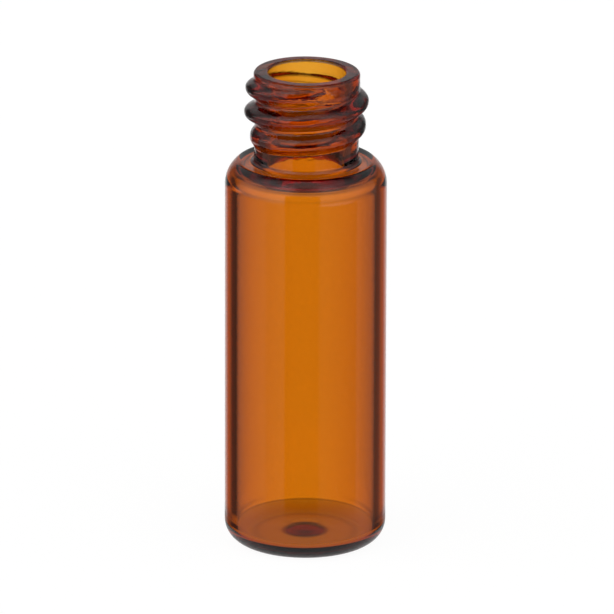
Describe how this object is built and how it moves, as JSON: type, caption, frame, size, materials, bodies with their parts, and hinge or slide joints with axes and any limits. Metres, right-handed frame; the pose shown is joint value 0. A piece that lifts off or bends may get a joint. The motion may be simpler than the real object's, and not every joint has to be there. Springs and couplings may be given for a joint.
{
  "type": "glass sample vial",
  "caption": "Small amber glass sample vial with a straight tubular body, rounded shoulder, pushed-up base and a coarse right-hand screw finish round an open mouth.",
  "frame": {"origin": "centre of the plane that the vial stands on", "axes": "+Z along the vial's axis, from the foot to the mouth; the top end of the thread lies near -Y"},
  "size_m": [0.0116, 0.0116, 0.0352],
  "materials": {
    "amber_glass": "clear amber glass, fire polished"
  },
  "bodies": {
    "root": {"vial": "amber_glass"}
  },
  "joints": []
}
